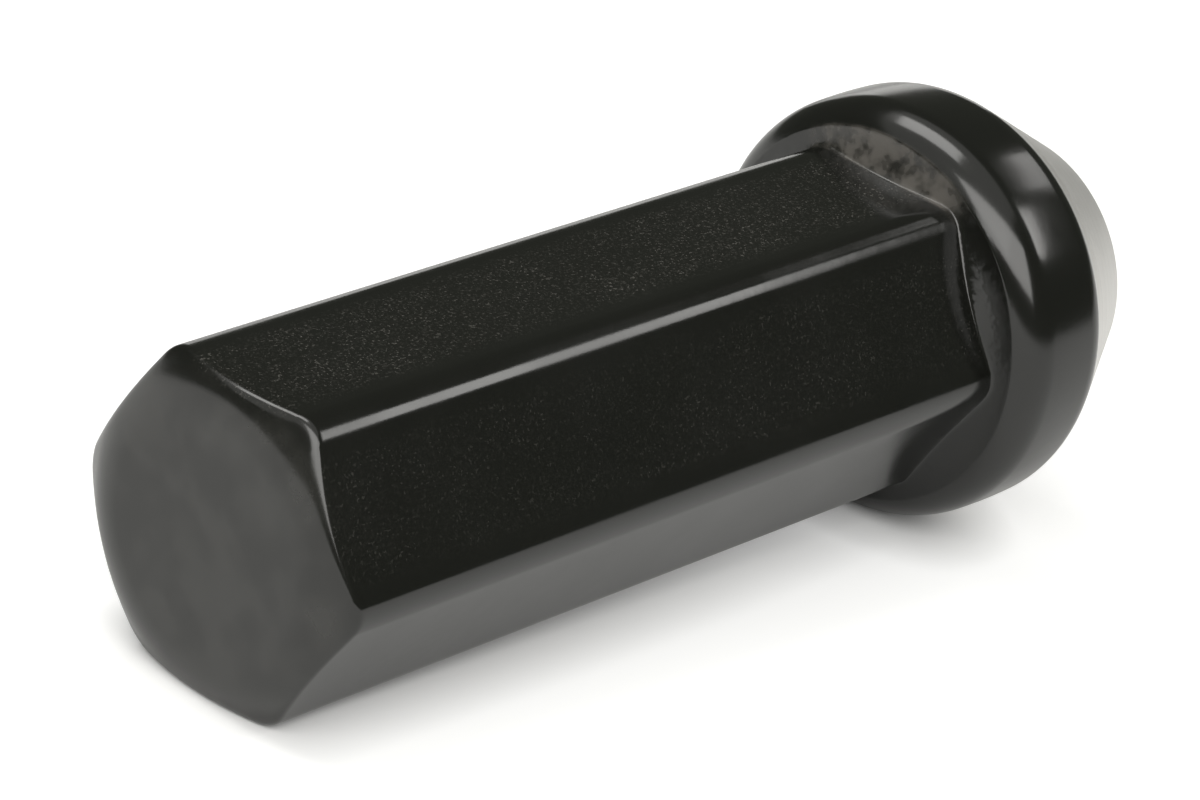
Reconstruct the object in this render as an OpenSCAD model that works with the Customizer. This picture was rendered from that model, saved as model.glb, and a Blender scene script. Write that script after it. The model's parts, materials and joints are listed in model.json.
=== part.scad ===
// Extended closed-end wheel nut: a long rounded hex with a rolled closed end,
// a bulged collar with a cove behind the hex, and a cone seat round a blind tapped hole.
// It is forged and turned as one piece. It lies on one flat, as it comes to rest:
// +X runs along the nut towards its open end, +Z is up, and the origin is on the
// surface that it lies on, under the middle of its length.

/* [Hex] */
// Width across the flats
across_flats = 19; // [17:0.5:21]
// Radius of the rounded hex corners
corner_r = 2.1; // [0.6:0.1:4]
// Length from the closed end to the rim of the collar
hex_len = 55.3; // [35:0.1:60]

/* [Closed end] */
// How far the edge of the flat end disc lies inside the flats
end_inset = 1.4; // [0.8:0.1:3]
// Radius of the roll round the end disc
end_roll_r = 2.85; // [2:0.05:6]
// Slope of the bevel that the roll runs out into, over the hex corners
end_slope = 30; // [25:1:60]

/* [Collar] */
// Largest diameter of the collar
collar_d = 26.6; // [25:0.1:30]
// Width of the collar from its rim to the start of its rounded back
collar_w = 5.1; // [4:0.1:7]
// Radius of the shoulder that rolls over from the rim
shoulder_r = 1.2; // [0.8:0.1:2]
// Width of the flat land at the rim
rim_land = 0.3; // [0.1:0.1:0.8]
// Radius of the cove between the hex and the rim
cove_r = 3; // [2.6:0.1:6]
// Radius of the rounded back of the collar
bulge_r = 2.4; // [1.5:0.1:5]

/* [Cone seat] */
// Included angle of the cone seat, which runs off the rounded back of the collar
seat_angle = 60; // [50:1:70]
// Diameter of the seat at the open end
nose_d = 16.8; // [15:0.1:19]

/* [Tapped hole] */
// Wall diameter of the hole, the minor diameter of its M12 x 1.5 thread
hole_d = 10.38; // [8:0.01:12]
// Depth of the full diameter from the open end
hole_depth = 48; // [25:0.5:55]
// Included angle of the drill point at the bottom of the hole
drill_angle = 118; // [90:1:140]
// Diameter of the countersink at the mouth
mouth_d = 12.6; // [12.1:0.1:14]
// Included angle of the countersink
mouth_angle = 90; // [60:1:120]

/* [Hidden] */

$fn = 120;

// How far the cuts run out past the faces that they open
overrun = 1;

half_flats = across_flats / 2;

// Corner circles of the hex, and where the flats run into them
corner_centre_r = (half_flats - corner_r) / cos(30);
flat_half_w = (half_flats - corner_r) * tan(30);

// Closed end: the roll starts at the end disc and bends over to the bevel
end_disc_r = half_flats - end_inset;
end_bend = [end_disc_r + end_roll_r * sin(end_slope), end_roll_r * (1 - cos(end_slope))];

// How far along the nut the turned closed end is at a distance from the axis
function end_along(from_axis) =
    from_axis < end_bend.x
        ? end_roll_r - sqrt(pow(end_roll_r, 2) - pow(from_axis - end_disc_r, 2))
        : end_bend.y + (from_axis - end_bend.x) * tan(end_slope);

// Where a flat starts on its middle line
flat_start = end_along(half_flats);

// Collar: circles of the shoulder, the cove and the back, as [along the nut, from its axis]
collar_r = collar_d / 2;
rim_r = collar_r - shoulder_r;
shoulder_c = [hex_len + shoulder_r, rim_r];
cove_c = [hex_len - cove_r, rim_r - rim_land];
bulge_c = [hex_len + collar_w, collar_r - bulge_r];

// Cone seat: it leaves the rounded back of the collar where the two have one slope
nose_r = nose_d / 2;
seat_r = bulge_c.y + bulge_r * cos(seat_angle / 2);
seat_start = bulge_c.x + bulge_r * sin(seat_angle / 2);
overall_len = seat_start + (seat_r - nose_r) / tan(seat_angle / 2);

// Tapped hole: lengths of its conical ends
hole_r = hole_d / 2;
drill_point = hole_r / tan(drill_angle / 2);
mouth_depth = (mouth_d - hole_d) / 2 / tan(mouth_angle / 2);

// Tilt of a line from the start of the lower flat that touches a collar circle from below
function lay_angle(centre, radius) =
    let (along = centre.x - flat_start, drop = centre.y - half_flats)
    asin(radius / norm([along, drop])) + atan2(drop, along);

// The nut rests on the start of its lower flat and on the collar
tilt = max(lay_angle(shoulder_c, shoulder_r), lay_angle(bulge_c, bulge_r));
lift = half_flats * cos(tilt) - flat_start * sin(tilt);

// Ends of the laid nut along X, and the middle between them
low_x = end_roll_r * cos(tilt) - end_disc_r * sin(tilt) - end_roll_r;
high_x = overall_len * cos(tilt) + nose_r * sin(tilt);
mid_x = (low_x + high_x) / 2;

// Section of the hex, with two flats across X
module hex_section() {
    polygon([for (side = [0:60:300], edge = [-1, 1])
        let (along = edge * flat_half_w)
        [half_flats * cos(side) - along * sin(side), half_flats * sin(side) + along * cos(side)]]);
    for (side = [0:60:300])
        rotate(side + 30) translate([corner_centre_r, 0]) circle(corner_r);
}

// Half section of the closed end, which turns the ends of the hex
module end_section() {
    turned_r = half_flats / cos(30);
    polygon([[0, 0], [end_disc_r, 0], end_bend, [turned_r, end_along(turned_r)], [turned_r, bulge_c.x],
        [0, bulge_c.x]]);
    translate([end_disc_r, end_roll_r]) circle(end_roll_r);
}

// Half section of the collar and the cone seat, before the cove is cut
module collar_section() {
    polygon([[0, cove_c.x], [cove_c.y, cove_c.x], [cove_c.y, hex_len], [rim_r, hex_len],
        [collar_r, shoulder_c.x], [collar_r, bulge_c.x], [0, bulge_c.x]]);
    translate([shoulder_c.y, shoulder_c.x]) circle(shoulder_r);
    translate([bulge_c.y, bulge_c.x]) circle(bulge_r);
    polygon([[0, bulge_c.x], [bulge_c.y, bulge_c.x], [seat_r, seat_start], [nose_r, overall_len],
        [0, overall_len]]);
}

// Collar with the cone seat and the cove
module collar() {
    rotate_extrude() difference() {
        collar_section();
        translate([cove_c.y, cove_c.x]) circle(cove_r);
    }
}

// Long hex with its rolled closed end
module hex_body() {
    intersection() {
        linear_extrude(bulge_c.x) hex_section();
        rotate_extrude() end_section();
    }
}

// Blind hole with its drill point and countersink
module tapped_hole() {
    bottom = overall_len - hole_depth;
    translate([0, 0, bottom]) cylinder(r = hole_r, h = hole_depth + overrun);
    translate([0, 0, bottom - drill_point]) cylinder(r1 = 0, r2 = hole_r, h = drill_point);
    translate([0, 0, overall_len - mouth_depth])
        cylinder(r1 = hole_r, r2 = hole_r + (mouth_depth + overrun) * tan(mouth_angle / 2),
            h = mouth_depth + overrun);
}

// The whole nut, laid down
module lug_nut() {
    color("#1b1c1b")
        translate([-mid_x, 0, lift]) rotate([0, 90 - tilt, 0]) difference() {
            union() {
                hex_body();
                collar();
            }
            tapped_hole();
        }
}

lug_nut();
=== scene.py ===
import bpy
import json
import math
from mathutils import Matrix, Vector


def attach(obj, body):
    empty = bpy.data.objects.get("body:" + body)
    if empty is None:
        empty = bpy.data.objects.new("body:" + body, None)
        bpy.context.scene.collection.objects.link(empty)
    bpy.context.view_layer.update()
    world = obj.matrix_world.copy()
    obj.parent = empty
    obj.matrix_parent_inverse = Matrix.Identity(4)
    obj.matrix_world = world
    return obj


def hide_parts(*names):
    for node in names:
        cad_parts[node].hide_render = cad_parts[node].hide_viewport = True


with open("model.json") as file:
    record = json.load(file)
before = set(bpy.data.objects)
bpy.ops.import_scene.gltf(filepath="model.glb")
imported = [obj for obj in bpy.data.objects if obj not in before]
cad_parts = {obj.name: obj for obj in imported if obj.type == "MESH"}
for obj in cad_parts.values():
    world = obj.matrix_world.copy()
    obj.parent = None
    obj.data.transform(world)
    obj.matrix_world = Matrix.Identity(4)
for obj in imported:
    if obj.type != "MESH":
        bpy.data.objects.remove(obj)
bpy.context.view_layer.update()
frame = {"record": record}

scene = bpy.context.scene
scene.view_settings.view_transform = "Standard"
MM = 0.001


# Camera: a long lens that looks down on the closed end and along the hex.
# There is no horizon in the picture, so its roll is given as the rise of its right-hand side.
camera_place = Vector((-217.76, -166.8, 130.99)) * MM
camera_aim = Vector((-1.01, 2.01, 10.48)) * MM
camera_roll = math.radians(12.49)
photo_width_px = 1200
focal_px = 5117
sensor_width_mm = 36
near_clip = 0.01

camera_data = bpy.data.cameras.new("camera")
camera_data.sensor_width = sensor_width_mm
camera_data.lens = sensor_width_mm * focal_px / photo_width_px
camera_data.clip_start = near_clip
camera = bpy.data.objects.new("camera", camera_data)
scene.collection.objects.link(camera)
look = (camera_aim - camera_place).to_track_quat("-Z", "Y").to_matrix().to_4x4()
camera.matrix_world = Matrix.Translation(camera_place) @ look @ Matrix.Rotation(camera_roll, 4, "Z")
scene.camera = camera


# Floor: a sheet of matt white board, which shows as plain white and keeps the shadow of the nut.
# Its glow is for the camera and for mirrors alone, so it adds no light to the nut.
# The glow fades close to the nut, which leaves a narrow dark shadow where the two touch.
floor_half = 3.0
board_colour = (0.84, 0.84, 0.84, 1)
camera_glow = 0.445
mirror_glow = 0.06
contact_reach = 0.004
contact_samples = 8


def new_material(name):
    """Empty node material with its output."""
    material = bpy.data.materials.new(name)
    material.use_nodes = True
    nodes = material.node_tree.nodes
    nodes.clear()
    return material, nodes.new("ShaderNodeOutputMaterial")


def add(tree, kind, **settings):
    """Add a node to a tree and set its own options."""
    node = tree.nodes.new(kind)
    for key, setting in settings.items():
        setattr(node, key, setting)
    return node


def feed(tree, socket, source):
    """Give an input socket a constant, or the output that feeds it."""
    if isinstance(source, bpy.types.NodeSocket):
        tree.links.new(source, socket)
    else:
        socket.default_value = source


def calc(tree, operation, *terms):
    """One step of arithmetic on numbers or outputs."""
    node = add(tree, "ShaderNodeMath", operation=operation)
    for socket, term in zip(node.inputs, terms):
        feed(tree, socket, term)
    return node.outputs[0]


def plus(tree, first, *others):
    """Sum of numbers or outputs."""
    total = first
    for term in others:
        total = calc(tree, "ADD", total, term)
    return total


def times(tree, first, *others):
    """Product of numbers or outputs."""
    product = first
    for factor in others:
        product = calc(tree, "MULTIPLY", product, factor)
    return product


def link_object(name, mesh):
    """Put a mesh into the scene as an object at the origin."""
    made = bpy.data.objects.new(name, mesh)
    scene.collection.objects.link(made)
    return made


def white_board():
    """Matt board with a glow that only the camera and mirrors see."""
    material, output = new_material("white_board")
    tree = material.node_tree
    matt = add(tree, "ShaderNodeBsdfDiffuse")
    matt.inputs["Color"].default_value = board_colour
    path = add(tree, "ShaderNodeLightPath").outputs
    mirrored = calc(tree, "MAXIMUM", path["Is Glossy Ray"], path["Is Transmission Ray"])
    seen = times(tree, path["Is Camera Ray"], camera_glow)
    strength = plus(tree, seen, times(tree, mirrored, mirror_glow))
    open_above = add(tree, "ShaderNodeAmbientOcclusion", samples=contact_samples)
    open_above.inputs["Distance"].default_value = contact_reach
    glow = add(tree, "ShaderNodeEmission")
    feed(tree, glow.inputs["Strength"], times(tree, strength, open_above.outputs["AO"]))
    both = add(tree, "ShaderNodeAddShader")
    feed(tree, both.inputs[0], matt.outputs[0])
    feed(tree, both.inputs[1], glow.outputs[0])
    feed(tree, output.inputs["Surface"], both.outputs[0])
    return material


floor_mesh = bpy.data.meshes.new("floor")
floor_corners = [(x * floor_half, y * floor_half, 0) for x, y in ((-1, -1), (1, -1), (1, 1), (-1, 1))]
floor_mesh.from_pydata(floor_corners, [], [(0, 1, 2, 3)])
floor_mesh.materials.append(white_board())
floor = link_object("floor", floor_mesh)


# Light: a soft panel on the camera's side, a wide weak panel and a bright bar overhead, and a dim room.
# Two small boxes on the right give the line along the upper front edge and the streak on the collar.
# A board behind on the right gives the pale top of the collar.
lamp_colour = (1.0, 0.99, 0.965)
room_colour = (0.078, 0.082, 0.068, 1)


def soft_box(name, towards, wide_way, distance, width, height, level):
    """Area lamp that faces the nut, with the way its width runs and the brightness of its surface."""
    lamp = bpy.data.lights.new(name, "AREA")
    lamp.shape = "RECTANGLE"
    lamp.size = width
    lamp.size_y = height
    lamp.energy = level * math.pi * width * height
    lamp.color = lamp_colour
    holder = bpy.data.objects.new(name, lamp)
    scene.collection.objects.link(holder)
    back = Vector(towards).normalized()
    side = Vector(wide_way)
    side = (side - back * side.dot(back)).normalized()
    turn = Matrix((side, back.cross(side), back)).transposed().to_4x4()
    holder.matrix_world = Matrix.Translation(back * distance) @ turn


soft_box("overhead_panel", towards=(-0.38, 0.05, 0.92), wide_way=(1, 0, 0), distance=0.65,
         width=1.1, height=1.1, level=0.52)
soft_box("overhead_bar", towards=(-0.18, 0.33, 0.93), wide_way=(0, 1, 0), distance=0.6,
         width=0.36, height=0.26, level=4.0)
soft_box("front_panel", towards=(-0.60, -0.52, 0.6), wide_way=(0.52, -0.60, 0), distance=0.7,
         width=0.9, height=0.42, level=3.5)
soft_box("edge_box", towards=(0.602, -0.495, 0.627), wide_way=(1, 0, 0), distance=0.5,
         width=0.10, height=0.17, level=4.4)
soft_box("collar_box", towards=(0.747, -0.075, 0.661), wide_way=(1, 0, 0), distance=0.5,
         width=0.06, height=0.13, level=3.0)
soft_box("back_board", towards=(0.735, 0.65, 0.12), wide_way=(0.65, -0.735, 0), distance=0.6,
         width=0.3, height=0.12, level=1.2)

world = bpy.data.worlds.new("dim_room")
scene.world = world
world.use_nodes = True
world.node_tree.nodes["Background"].inputs["Color"].default_value = room_colour


# Nut: one forged and turned steel piece, a long hex with a rolled closed end and a bulged collar.
# It is coated a semi-gloss black, with some dust on it; the cone seat and the tapped hole are bare steel.
# Every cross-section is the hex or a circle, and the two run into each other at both ends of the hex.
mounts = {mount["name"]: mount for mount in frame["record"]["mounts"]}
axis = Vector(mounts["stud_thread"]["axis"]).normalized()
closed_end = Vector(mounts["hex_drive"]["pos_m"])
across = Vector((0, 1, 0))
up = axis.cross(across)

# Sizes in mm, and places along the nut from its closed end
half_flats = 9.5
corner_r = 2.1
end_disc_r = 7.0
end_roll_r = 5.0
end_slope = math.radians(30)
rim_at = 55.3
collar_r = 13.3
crown_r = 40.0
crown_at = 58.82
crown_lean = math.radians(2.5)
shoulder_r = 2.7
shoulder_lean = math.radians(62)
rim_roll_r = 0.5
rim_lean = math.radians(80)
cove_r = 7.0
cove_turn = math.radians(132)
bulge_r = 2.4
nose_r = 8.4
seat_slope = math.radians(30)
mouth_r = 6.3
minor_r = mounts["stud_thread"]["dims"]["r_mm"]
major_r = 6.0
hole_depth = 48.0
thread_depth = 43.0
runout = 0.8
drill_half_angle = math.radians(59)
edge_blend = 0.8
cove_blend = 0.35

# Steps of the mesh round the nut, and the distance in metres within which its points are merged
steps_round = 360
weld = 1e-7


def touching(middle, gap, lean):
    """Place at a distance from the middle of an arc, or the middle of an arc that runs on from it there.

    Places are (along the nut, from its axis), and the lean is from straight out towards the open end.
    """
    return (middle[0] + gap * math.sin(lean), middle[1] + gap * math.cos(lean))


crown_mid = (crown_at, collar_r - crown_r)
shoulder_mid = touching(crown_mid, crown_r - shoulder_r, -crown_lean)
rim_mid = touching(shoulder_mid, shoulder_r - rim_roll_r, -shoulder_lean)
cove_mid = touching(rim_mid, rim_roll_r + cove_r, -rim_lean)
bulge_mid = touching(crown_mid, crown_r - bulge_r, crown_lean)
seat_at, seat_r = touching(bulge_mid, bulge_r, seat_slope)
nose_at = seat_at + (seat_r - nose_r) / math.tan(seat_slope)
bore_at = nose_at - mouth_r + major_r
thread_end = nose_at - thread_depth
hole_end = nose_at - hole_depth
drill_tip = hole_end - minor_r / math.tan(drill_half_angle)

# The roll at the closed end bends over into a bevel, which runs out past the corners of the hex
bend_r = end_disc_r + end_roll_r * math.sin(end_slope)
bend_at = end_roll_r * (1 - math.cos(end_slope))
past_hex_r = 13.0
bevel_at = bend_at + (past_hex_r - bend_r) * math.tan(end_slope)
hex_first = bevel_at + 1
hex_last = rim_at - 4

CUT_BY_HEX, PLAIN, ROUND_HEX = -1, 0, 1
profile = []


def stations(make, count, start=0.0, end=1.0, rule=PLAIN):
    """Profile points for a value that runs evenly from start to end."""
    for step in range(count):
        share = step / (count - 1)
        along, radius = make(start + (end - start) * share)
        profile.append((along, radius, rule))


def ring(middle, radius):
    """Arc of the profile, by its angle from the outward direction towards the open end."""
    return lambda turn: touching(middle, radius, turn)


def straight(start, end):
    """Straight part of the profile, by its share of the way."""
    return lambda share: (start[0] + (end[0] - start[0]) * share, start[1] + (end[1] - start[1]) * share)


# The profile runs from the middle of the closed end to the tip of the hole.
# Where two parts meet, one stops a little short, so they share no point and sharp edges are broken.
quarter = math.pi / 2
nudge = math.radians(1)
mouth_break = 0.02
stations(straight((0, 0), (0, end_disc_r)), count=6, end=0.98, rule=CUT_BY_HEX)
stations(ring((end_roll_r, end_disc_r), end_roll_r), count=18, start=-quarter, end=end_slope - quarter,
         rule=CUT_BY_HEX)
stations(straight((bend_at, bend_r), (bevel_at, past_hex_r)), count=26, start=0.04, rule=CUT_BY_HEX)
stations(straight((hex_first, past_hex_r), (hex_last, past_hex_r)), count=10, rule=CUT_BY_HEX)
stations(ring(cove_mid, cove_r), count=40, start=cove_turn, end=math.pi + nudge - rim_lean, rule=ROUND_HEX)
stations(ring(rim_mid, rim_roll_r), count=6, start=-rim_lean, end=-shoulder_lean)
stations(ring(shoulder_mid, shoulder_r), count=18, start=2 * nudge - shoulder_lean, end=-crown_lean)
stations(ring(crown_mid, crown_r), count=8, start=nudge - crown_lean, end=crown_lean)
stations(ring(bulge_mid, bulge_r), count=12, start=crown_lean + 2 * nudge, end=seat_slope)
seat_first = len(profile) - 1
stations(straight((seat_at, seat_r), (nose_at, nose_r)), count=14, start=0.03, end=0.96)
stations(straight((nose_at, nose_r), (nose_at, mouth_r)), count=3, start=0.1, end=0.9)
bore_first = len(profile)
stations(straight((nose_at - mouth_break, mouth_r - mouth_break), (bore_at, major_r)), count=4)
stations(straight((bore_at, major_r), (thread_end, major_r)), count=8, start=0.05)
stations(straight((thread_end - runout, minor_r), (hole_end, minor_r)), count=4)
stations(straight((hole_end, minor_r), (drill_tip, 0)), count=3, start=0.2)


def new_tree(name, shape_in, inputs, shape_out):
    """Geometry Nodes tree that turns one shape into another, with named inputs of each kind."""
    tree = bpy.data.node_groups.new(name, "GeometryNodeTree")
    tree.interface.new_socket(shape_in, in_out="INPUT", socket_type="NodeSocketGeometry")
    for kind, labels in inputs.items():
        for label in labels:
            tree.interface.new_socket(label, in_out="INPUT", socket_type="NodeSocket" + kind)
    tree.interface.new_socket(shape_out, in_out="OUTPUT", socket_type="NodeSocketGeometry")
    return tree, add(tree, "NodeGroupInput").outputs


def choose(tree, when, otherwise, then):
    """Pick one of two numbers."""
    node = add(tree, "GeometryNodeSwitch", input_type="FLOAT")
    feed(tree, node.inputs["Switch"], when)
    feed(tree, node.inputs["False"], otherwise)
    feed(tree, node.inputs["True"], then)
    return node.outputs[0]


def row_grid(tree, rows, columns):
    """Flat grid, with the row and the column of each of its points."""
    grid = add(tree, "GeometryNodeMeshGrid")
    feed(tree, grid.inputs["Vertices X"], rows)
    feed(tree, grid.inputs["Vertices Y"], columns)
    index = add(tree, "GeometryNodeInputIndex").outputs[0]
    row = calc(tree, "FLOOR", calc(tree, "DIVIDE", plus(tree, index, 0.5), columns))
    column = calc(tree, "SUBTRACT", index, times(tree, row, columns))
    return grid.outputs["Mesh"], row, column


def outline_point(tree, outline, index):
    """Place of one point of an outline, as its three parts."""
    point = add(tree, "GeometryNodeSampleIndex", data_type="FLOAT_VECTOR")
    feed(tree, point.inputs["Geometry"], outline)
    feed(tree, point.inputs["Value"], add(tree, "GeometryNodeInputPosition").outputs[0])
    feed(tree, point.inputs["Index"], index)
    parts = add(tree, "ShaderNodeSeparateXYZ")
    feed(tree, parts.inputs[0], point.outputs[0])
    return parts.outputs


def vector_sum(tree, first, second):
    """Sum of two places or two colours."""
    total = add(tree, "ShaderNodeVectorMath", operation="ADD")
    feed(tree, total.inputs[0], first)
    feed(tree, total.inputs[1], second)
    return total.outputs[0]


def lay_round(tree, grid, given, along, sideways, upwards):
    """Move the points of a grid to their places along and beside the axis, with its faces outwards."""
    place = given["Closed end"]
    for direction, length in (("Axis", along), ("Across", sideways), ("Up", upwards)):
        step = add(tree, "ShaderNodeVectorMath", operation="SCALE")
        feed(tree, step.inputs[0], given[direction])
        feed(tree, step.inputs["Scale"], length)
        place = vector_sum(tree, place, step.outputs[0])
    moved = add(tree, "GeometryNodeSetPosition")
    feed(tree, moved.inputs["Geometry"], grid)
    feed(tree, moved.inputs["Position"], place)
    outward = add(tree, "GeometryNodeFlipFaces")
    feed(tree, outward.inputs[0], moved.outputs[0])
    return outward.outputs[0]


def welded(tree, shape):
    """Shape with its doubled points merged."""
    joined = add(tree, "GeometryNodeMergeByDistance")
    feed(tree, joined.inputs["Geometry"], shape)
    joined.inputs["Distance"].default_value = weld
    return joined.outputs[0]


def nut_tree():
    """Geometry Nodes: a grid of stations by steps round, laid on the profile and the hex."""
    tree, given = new_tree("turned_hex", "Profile", {
        "Int": ("Stations", "Steps round"),
        "Float": ("Half across flats", "Corner radius", "Edge blend", "Cove blend", "Seat from",
                  "Bore from"),
        "Vector": ("Closed end", "Axis", "Across", "Up"),
        "Material": ("Coat", "Bare steel", "Bore steel")}, "Nut")
    grid, station, step = row_grid(tree, given["Stations"], plus(tree, given["Steps round"], 1))
    along, turned, rule = outline_point(tree, given["Profile"], station)

    # Angle round the nut, with most of the steps on the rounded corners
    half = given["Half across flats"]
    corner = given["Corner radius"]
    sixth = math.pi / 3
    corner_steps = 0.6
    inner_half = calc(tree, "SUBTRACT", half, corner)
    flat_half = times(tree, inner_half, math.tan(sixth / 2))
    flat_reach = calc(tree, "ARCTANGENT", calc(tree, "DIVIDE", flat_half, half))
    corner_reach = calc(tree, "SUBTRACT", sixth / 2, flat_reach)
    sixths = calc(tree, "DIVIDE", times(tree, step, 6), given["Steps round"])
    nearest = calc(tree, "FLOOR", plus(tree, sixths, 0.5))
    signed = times(tree, calc(tree, "SUBTRACT", sixths, nearest), 2)
    size = calc(tree, "ABSOLUTE", signed)
    on_corner = calc(tree, "MINIMUM", calc(tree, "DIVIDE", size, corner_steps), 1)
    past_corner = calc(tree, "SUBTRACT", size, corner_steps)
    on_flat = calc(tree, "MAXIMUM", calc(tree, "DIVIDE", past_corner, 1 - corner_steps), 0)
    off_corner = plus(tree, times(tree, on_corner, corner_reach), times(tree, on_flat, flat_reach))
    angle = plus(tree, times(tree, nearest, sixth), times(tree, calc(tree, "SIGN", signed), off_corner))

    # Polar radius of the hex: straight flats, and corner circles between them
    off_flat = calc(tree, "SUBTRACT", sixth / 2, off_corner)
    flat_radius = calc(tree, "DIVIDE", half, calc(tree, "COSINE", off_flat))
    corner_mid = calc(tree, "DIVIDE", inner_half, math.cos(sixth / 2))
    side = times(tree, corner_mid, calc(tree, "SINE", off_corner))
    rise = calc(tree, "SUBTRACT", times(tree, corner, corner), times(tree, side, side))
    corner_radius = plus(tree, times(tree, corner_mid, calc(tree, "COSINE", off_corner)),
                         calc(tree, "SQRT", rise))
    hex_radius = choose(tree, calc(tree, "GREATER_THAN", on_flat, 0), corner_radius, flat_radius)

    # The smaller of the two at the closed end, the larger at the cove, with a soft edge between them
    cut = calc(tree, "SMOOTH_MIN", turned, hex_radius, given["Edge blend"])
    raised = calc(tree, "SMOOTH_MAX", turned, hex_radius, given["Cove blend"])
    radius = choose(tree, calc(tree, "LESS_THAN", rule, CUT_BY_HEX / 2), turned, cut)
    radius = choose(tree, calc(tree, "GREATER_THAN", rule, ROUND_HEX / 2), radius, raised)
    sideways = times(tree, radius, calc(tree, "COSINE", angle))
    upwards = times(tree, radius, calc(tree, "SINE", angle))
    made = lay_round(tree, grid, given, along, sideways, upwards)

    # Values for the coat: place in the nut in mm, distance from an edge, and how far it faces up
    inside = add(tree, "ShaderNodeCombineXYZ")
    for socket, length in zip(inside.inputs, (along, sideways, upwards)):
        feed(tree, socket, calc(tree, "DIVIDE", length, MM))
    facing = add(tree, "ShaderNodeSeparateXYZ")
    feed(tree, facing.inputs[0], add(tree, "GeometryNodeInputNormal").outputs[0])
    for name, kind, source in (("turned", "FLOAT_VECTOR", inside.outputs[0]), ("off_edge", "FLOAT", on_flat),
                               ("up_facing", "FLOAT", facing.outputs["Z"])):
        keep = add(tree, "GeometryNodeStoreNamedAttribute", data_type=kind, domain="POINT")
        feed(tree, keep.inputs["Geometry"], made)
        keep.inputs["Name"].default_value = name
        feed(tree, keep.inputs["Value"], source)
        made = keep.outputs[0]

    # Bare steel from the seat on and darker steel in the hole, by whole rows of the grid
    row = add(tree, "GeometryNodeFieldOnDomain", data_type="FLOAT", domain="POINT")
    feed(tree, row.inputs["Value"], station)
    for key, first in (("Coat", None), ("Bare steel", "Seat from"), ("Bore steel", "Bore from")):
        finish = add(tree, "GeometryNodeSetMaterial")
        feed(tree, finish.inputs["Geometry"], made)
        feed(tree, finish.inputs["Material"], given[key])
        if first is not None:
            past_first = calc(tree, "GREATER_THAN", row.outputs["Value"], given[first])
            feed(tree, finish.inputs["Selection"], past_first)
        made = finish.outputs[0]
    smooth = add(tree, "GeometryNodeSetShadeSmooth")
    feed(tree, smooth.inputs["Geometry"], welded(tree, made))
    real = add(tree, "GeometryNodeRealizeInstances")
    feed(tree, real.inputs[0], smooth.outputs[0])
    feed(tree, add(tree, "NodeGroupOutput").inputs["Nut"], real.outputs[0])
    return tree


def grow(name, start_mesh, tree, values):
    """Run a tree on a mesh with its named inputs, and keep the result as a plain mesh at the origin."""
    carrier = link_object(name + "_carrier", start_mesh)
    modifier = carrier.modifiers.new("grow", "NODES")
    modifier.node_group = tree
    for item in tree.interface.items_tree:
        if item.in_out == "INPUT" and item.name in values:
            modifier[item.identifier] = values[item.name]
    depsgraph = bpy.context.evaluated_depsgraph_get()
    mesh = bpy.data.meshes.new_from_object(carrier.evaluated_get(depsgraph), depsgraph=depsgraph)
    carrier.modifiers.remove(modifier)
    bpy.data.objects.remove(carrier)
    mesh.name = name
    return link_object(name, mesh)


def noise(tree, where, fineness, detail=2.0, rough=0.5):
    """Noise over a place, with the number of lumps to the unit of the place."""
    node = add(tree, "ShaderNodeTexNoise")
    feed(tree, node.inputs["Vector"], where)
    node.inputs["Scale"].default_value = fineness
    node.inputs["Detail"].default_value = detail
    node.inputs["Roughness"].default_value = rough
    return node.outputs["Fac"]


def fade(tree, source, low, high, start=0.0, end=1.0):
    """Range of a value from low to high mapped to another from start to end, held at both ends."""
    node = add(tree, "ShaderNodeMapRange", interpolation_type="SMOOTHSTEP")
    feed(tree, node.inputs["Value"], source)
    for key, limit in (("From Min", low), ("From Max", high), ("To Min", start), ("To Max", end)):
        node.inputs[key].default_value = limit
    return node.outputs["Result"]


def tint(tree, share, first, second):
    """Colour between two colours."""
    node = add(tree, "ShaderNodeMix", data_type="RGBA")
    feed(tree, node.inputs["Factor"], share)
    node.inputs["A"].default_value = (*first, 1)
    node.inputs["B"].default_value = (*second, 1)
    return node.outputs["Result"]


def stored(tree, name):
    """Value that the shape carries with it."""
    return add(tree, "ShaderNodeAttribute", attribute_type="GEOMETRY", attribute_name=name)


def bumps(tree, height, depth, under=None):
    """Bump from a height, over another bump."""
    node = add(tree, "ShaderNodeBump")
    node.inputs["Strength"].default_value = 1.0
    node.inputs["Distance"].default_value = depth
    feed(tree, node.inputs["Height"], height)
    if under is not None:
        feed(tree, node.inputs["Normal"], under)
    return node.outputs["Normal"]


# Finish of the coat and what lies on it, with depths of relief in metres and places in the nut in mm
coat_black = (0.0060, 0.0064, 0.0054)
coat_grey = (0.0085, 0.0088, 0.0074)
coat_ior = 1.6
peel_depth = 12e-6
grain_depth = 1.5e-6
no_colour = (0, 0, 0)
dust_colour = (0.13, 0.125, 0.115)
dust_cover = 0.55
dust_end = rim_at - 0.9
# A painted reflection of a lamp: a lighter, rougher patch in the cove over the upper flat
cove_reflection_colour = (0.085, 0.078, 0.070)
cove_start = rim_at - 1.5
cove_outer_r = 12.0
cove_border = 0.4
# Bloom on the closed end, partly real haze and partly painted reflection that lifts the end's brightness
end_bloom_and_sheen_colour = (0.016, 0.0155, 0.0145)


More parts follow.
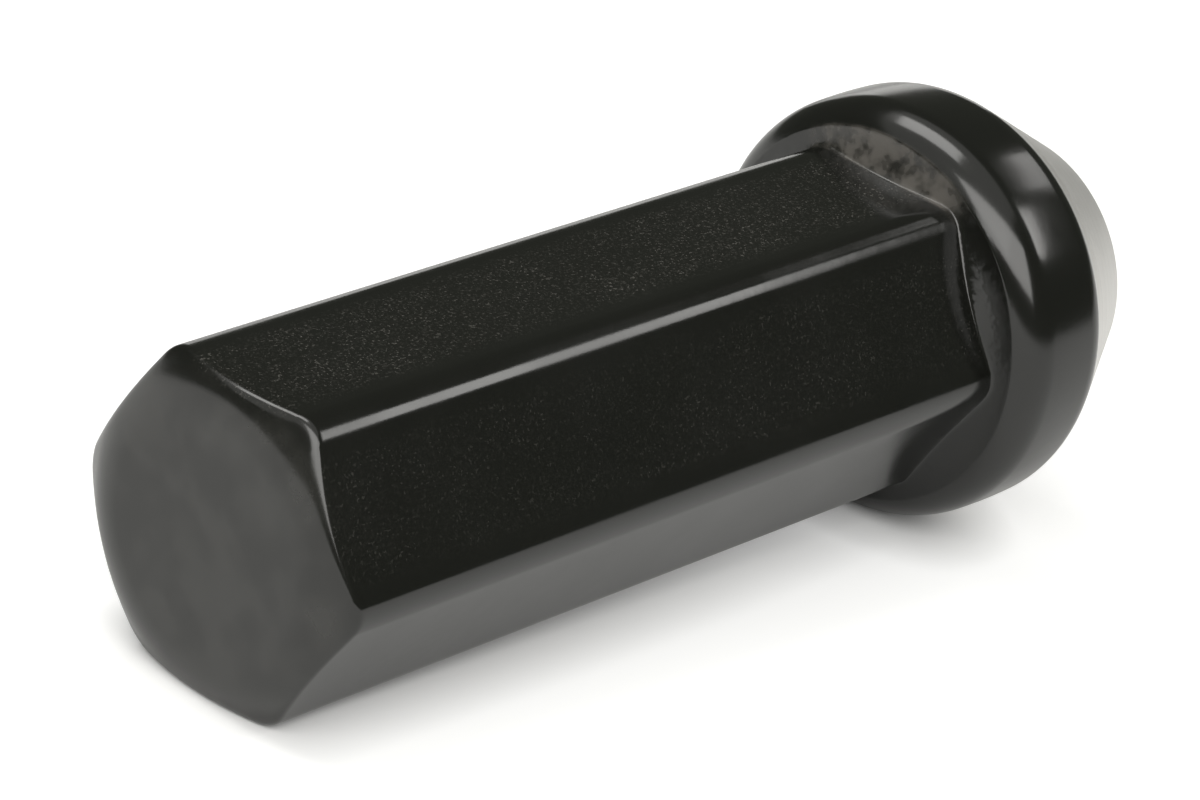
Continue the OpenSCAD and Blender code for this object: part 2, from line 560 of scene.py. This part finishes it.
def black_coat():
    """Semi-gloss black with a slight orange peel, under dust, a painted reflection in the cove, and bloom
    with painted reflection on the end.
    """
    material, output = new_material("black_coat")
    tree = material.node_tree
    spot = add(tree, "ShaderNodeTexCoord").outputs["Object"]
    inside = add(tree, "ShaderNodeSeparateXYZ")
    feed(tree, inside.inputs[0], stored(tree, "turned").outputs["Vector"])
    along, sideways, upwards = inside.outputs
    squares = plus(tree, times(tree, sideways, sideways), times(tree, upwards, upwards))
    from_axis = calc(tree, "SQRT", squares)
    in_cove = times(tree, fade(tree, along, cove_start, cove_start + cove_border),
                    fade(tree, from_axis, cove_outer_r, cove_outer_r - cove_border))

    # The peel is fine all over and wormy in the cove
    wormy = noise(tree, spot, fineness=1900, detail=1.0)
    peel = plus(tree, times(tree, noise(tree, spot, fineness=800, detail=1.0), 0.35),
                times(tree, wormy, times(tree, in_cove, 1.4)))
    grain = noise(tree, spot, fineness=5200, rough=0.7)

    # Dust lies on what faces up, away from the edges of the hex
    facing_up = fade(tree, stored(tree, "up_facing").outputs["Fac"], 0.2, 1.0)
    off_edge = fade(tree, stored(tree, "off_edge").outputs["Fac"], 0.02, 0.3)
    on_hex = fade(tree, along, dust_end, cove_start)
    patches = fade(tree, noise(tree, spot, fineness=260), 0.35, 0.65, start=0.55)
    specks = fade(tree, noise(tree, spot, fineness=5600, detail=1.0), 0.64, 0.70)
    powder = plus(tree, times(tree, fade(tree, grain, 0.5, 0.75), 0.5), specks)
    dust = times(tree, powder, facing_up, off_edge, patches, on_hex)

    # A painted reflection, lighter and rougher, lies in the cove over the upper flat; bloom with painted
    # reflection lightens the closed end
    over_top_flat = fade(tree, calc(tree, "DIVIDE", upwards, from_axis), 0.80, 0.93)
    streaks = fade(tree, noise(tree, spot, fineness=420, detail=3.0, rough=0.65), 0.38, 0.6, start=0.15)
    painted_cove_reflection = times(tree, in_cove, over_top_flat, streaks)
    clouds = fade(tree, noise(tree, spot, fineness=300, detail=3.0), 0.35, 0.7)
    end_bloom_and_sheen = times(tree, plus(tree, times(tree, grain, 0.4), clouds), fade(tree, along, 1.4, 0.3))

    whole = tint(tree, noise(tree, spot, fineness=90), coat_black, coat_grey)
    cover = calc(tree, "MINIMUM", times(tree, dust, dust_cover), 1)
    for share, colour in ((cover, dust_colour), (painted_cove_reflection, cove_reflection_colour), (end_bloom_and_sheen, end_bloom_and_sheen_colour)):
        whole = vector_sum(tree, whole, tint(tree, share, no_colour, colour))
    gloss = fade(tree, noise(tree, spot, fineness=130, detail=3.0), 0.3, 0.7, start=0.12, end=0.19)
    shader = add(tree, "ShaderNodeBsdfPrincipled")
    shader.inputs["IOR"].default_value = coat_ior
    feed(tree, shader.inputs["Base Color"], whole)
    feed(tree, shader.inputs["Roughness"], plus(tree, gloss, times(tree, painted_cove_reflection, 0.2)))
    feed(tree, shader.inputs["Normal"], bumps(tree, grain, grain_depth, bumps(tree, peel, peel_depth)))
    feed(tree, output.inputs["Surface"], shader.outputs[0])
    return material


seat_dark = (0.66, 0.645, 0.625)
seat_pale = (0.82, 0.81, 0.79)
seat_mark_depth = 6e-6
stretch_round = (1.0, 0.0017, 0.0017)


def turned_seat_steel():
    """Bare steel with the fine marks of turning, which run round the axis."""
    material, output = new_material("turned_seat_steel")
    tree = material.node_tree
    lines = add(tree, "ShaderNodeVectorMath", operation="MULTIPLY")
    feed(tree, lines.inputs[0], stored(tree, "turned").outputs["Vector"])
    lines.inputs[1].default_value = stretch_round
    marks = noise(tree, lines.outputs[0], fineness=9.0, detail=3.0, rough=0.6)
    shader = add(tree, "ShaderNodeBsdfPrincipled")
    shader.inputs["Metallic"].default_value = 1
    feed(tree, shader.inputs["Base Color"], tint(tree, fade(tree, marks, 0.3, 0.7), seat_dark, seat_pale))
    feed(tree, shader.inputs["Roughness"], fade(tree, marks, 0.3, 0.7, start=0.26, end=0.40))
    feed(tree, shader.inputs["Normal"], bumps(tree, marks, seat_mark_depth))
    feed(tree, output.inputs["Surface"], shader.outputs[0])
    return material


bore_dark = (0.13, 0.125, 0.12)
bore_pale = (0.21, 0.205, 0.20)


def tapped_steel():
    """Dark cut steel with some stain."""
    material, output = new_material("tapped_steel")
    tree = material.node_tree
    spot = add(tree, "ShaderNodeTexCoord").outputs["Object"]
    stain = fade(tree, noise(tree, spot, fineness=600, detail=3.0), 0.35, 0.65)
    shader = add(tree, "ShaderNodeBsdfPrincipled")
    shader.inputs["Metallic"].default_value = 1
    feed(tree, shader.inputs["Base Color"], tint(tree, stain, bore_dark, bore_pale))
    feed(tree, shader.inputs["Roughness"], fade(tree, stain, 0, 1, start=0.32, end=0.45))
    feed(tree, output.inputs["Surface"], shader.outputs[0])
    return material


coat = black_coat()
seat_steel = turned_seat_steel()
bore_steel = tapped_steel()
profile_mesh = bpy.data.meshes.new("nut_profile")
profile_mesh.from_pydata([(along * MM, radius * MM, rule) for along, radius, rule in profile], [], [])
nut = grow("nut_body", profile_mesh, nut_tree(), {
    "Stations": len(profile), "Steps round": steps_round, "Half across flats": half_flats * MM,
    "Corner radius": corner_r * MM, "Edge blend": edge_blend * MM, "Cove blend": cove_blend * MM,
    "Seat from": float(seat_first), "Bore from": float(bore_first), "Closed end": closed_end,
    "Axis": axis, "Across": across, "Up": up,
    "Coat": coat, "Bare steel": seat_steel, "Bore steel": bore_steel})
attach(nut, "root")
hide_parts("lug_nut")


# Thread: the right-hand M12 x 1.5 thread that is tapped into the hole, as one ridge that winds along it.
# It is cut from the steel of the nut, so its root lies just inside the wall of the hole.
# Both ends taper away to a point, as a tap leaves them.
pitch = 1.5
thread_turns = 28
steps_a_turn = 48
taper_turns = 0.75
root_half = 0.66
crest_half = 0.19
root_bite = 0.05
root_r = major_r + root_bite
ridge_height = root_r - minor_r
run_in = 0.4
ridge_start = thread_end + run_in


def thread_tree():
    """Geometry Nodes: a grid of steps along the winding by points round the ridge."""
    tree, given = new_tree("wound_ridge", "Section", {
        "Int": ("Steps", "Steps a turn", "Corners"),
        "Float": ("Taper turns", "Pitch", "Start", "Root radius"),
        "Vector": ("Closed end", "Axis", "Across", "Up"),
        "Material": ("Steel",)}, "Ridge")
    grid, step, column = row_grid(tree, plus(tree, given["Steps"], 1), plus(tree, given["Corners"], 1))
    corner = calc(tree, "MODULO", column, given["Corners"])
    lengthwise, inwards = outline_point(tree, given["Section"], corner)[:2]

    # The section shrinks to a point at both ends
    turns = calc(tree, "DIVIDE", step, given["Steps a turn"])
    left = calc(tree, "DIVIDE", calc(tree, "SUBTRACT", given["Steps"], step), given["Steps a turn"])
    nearer_end = calc(tree, "MINIMUM", turns, left)
    full = calc(tree, "MINIMUM", calc(tree, "DIVIDE", nearer_end, given["Taper turns"]), 1)
    along = plus(tree, given["Start"], times(tree, turns, given["Pitch"]), times(tree, lengthwise, full))
    radius = calc(tree, "SUBTRACT", given["Root radius"], times(tree, inwards, full))
    angle = times(tree, turns, 2 * math.pi)
    sideways = times(tree, radius, calc(tree, "COSINE", angle))
    upwards = times(tree, radius, calc(tree, "SINE", angle))
    wound = lay_round(tree, grid, given, along, sideways, upwards)
    real = add(tree, "GeometryNodeRealizeInstances")
    feed(tree, real.inputs[0], welded(tree, wound))
    finish = add(tree, "GeometryNodeSetMaterial")
    feed(tree, finish.inputs["Geometry"], real.outputs[0])
    feed(tree, finish.inputs["Material"], given["Steel"])
    feed(tree, add(tree, "NodeGroupOutput").inputs["Ridge"], finish.outputs[0])
    return tree


section = [(-root_half, 0), (-crest_half, ridge_height), (crest_half, ridge_height), (root_half, 0)]
section_mesh = bpy.data.meshes.new("thread_section")
section_mesh.from_pydata([(side * MM, rise * MM, 0) for side, rise in section], [], [])
thread = grow("thread_ridge", section_mesh, thread_tree(), {
    "Steps": thread_turns * steps_a_turn, "Steps a turn": steps_a_turn, "Corners": len(section),
    "Taper turns": taper_turns, "Pitch": pitch * MM, "Start": ridge_start * MM, "Root radius": root_r * MM,
    "Closed end": closed_end, "Axis": axis, "Across": across, "Up": up, "Steel": bore_steel})
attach(thread, "root")
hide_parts("lug_nut")
